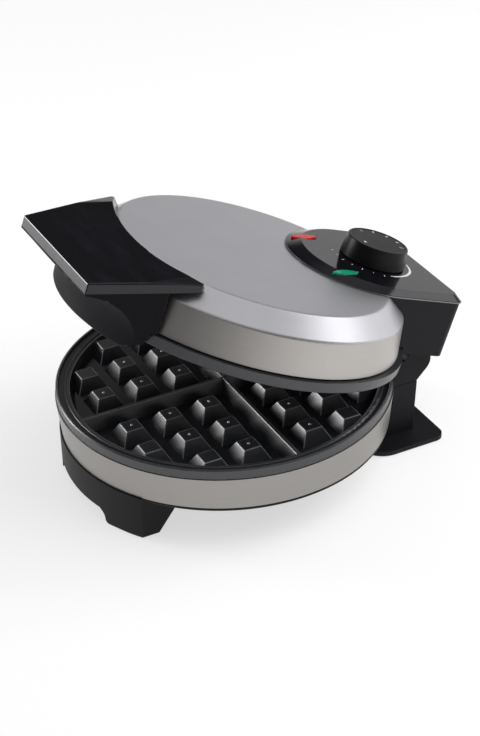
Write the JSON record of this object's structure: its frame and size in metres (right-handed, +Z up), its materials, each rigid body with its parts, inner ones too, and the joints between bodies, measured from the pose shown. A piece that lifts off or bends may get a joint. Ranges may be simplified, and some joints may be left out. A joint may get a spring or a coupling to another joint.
{
  "type": "belgian waffle maker",
  "caption": "Round countertop waffle maker: hinged stainless lid ajar over deep-grid non-stick plates, wide black handle, rear panel with dial and pilot lights, black feet.",
  "frame": {"origin": "on the worktop, under the centre of the bounding box with the lid ajar", "axes": "+Z up; +Y from the handle to the hinge; +X along the hinge pin"},
  "size_m": [0.202, 0.2396, 0.1673],
  "materials": {
    "matte_black": "fine satin moulded texture",
    "gloss_black": "polished",
    "stainless": "brushed round the axis",
    "trim_metal": "bright",
    "nonstick": "black non-stick coating on cast aluminium",
    "rubber_black": "matte",
    "screw_steel": "zinc plated",
    "element_steel": "heat stained",
    "sheet_aluminium": "mill finish",
    "frame_steel": "plain pressed sheet",
    "ceramic_white": "white insulating body",
    "switch_body": "brown heat-proof moulding",
    "red_clear": "translucent red",
    "green_clear": "translucent green",
    "lamp_glass": "clear"
  },
  "bodies": {
    "base": {"base_shell": "matte_black", "lower_band": "stainless", "lower_plate": "nonstick", "lower_heating_element": "element_steel", "lower_element_clamps": "frame_steel", "lower_clamp_screws": "screw_steel", "lower_heat_shield": "sheet_aluminium", "lower_plate_screws": "screw_steel", "thermal_fuse": "ceramic_white", "fuse_clamp": "frame_steel", "fuse_clamp_screws": "screw_steel", "terminal_block": "ceramic_white", "foot_pads": "rubber_black", "rear_stand": "matte_black", "rear_stand_screws": "screw_steel", "cord_gland": "rubber_black", "hinge_block": "matte_black", "hinge_block_screws": "screw_steel", "hinge_pin": "screw_steel"},
    "lid": {"lid_shell": "stainless", "upper_plate": "nonstick", "upper_heating_element": "element_steel", "upper_element_clamps": "frame_steel", "upper_clamp_screws": "screw_steel", "upper_heat_shield": "sheet_aluminium", "upper_plate_screws": "screw_steel", "lid_frame": "frame_steel", "handle_cover": "gloss_black", "front_housing": "matte_black", "handle_screws": "screw_steel", "rear_housing": "matte_black", "rear_housing_screws": "screw_steel", "panel_trim": "trim_metal", "control_panel": "gloss_black", "red_lens": "red_clear", "green_lens": "green_clear", "pilot_lamps": "lamp_glass", "lamp_holders": "ceramic_white", "thermostat": "switch_body", "thermostat_bracket": "frame_steel", "thermostat_screw": "screw_steel"},
    "knob": {"thermostat_shaft": "screw_steel", "control_knob": "matte_black", "knob_cap": "gloss_black"}
  },
  "joints": [
    {"name": "lid_hinge", "type": "hinge", "parent": "base", "child": "lid", "pos_m": [0, 0.09204, 0.051], "axis": [-1, 0, 0], "range_deg": [-21.2, 78.8]},
    {"name": "dial_turn", "type": "hinge", "parent": "lid", "child": "knob", "pos_m": [0, 0.08615, 0.11185], "axis": [0, 0.3616, 0.9323], "range_deg": [-270, 0]}
  ]
}
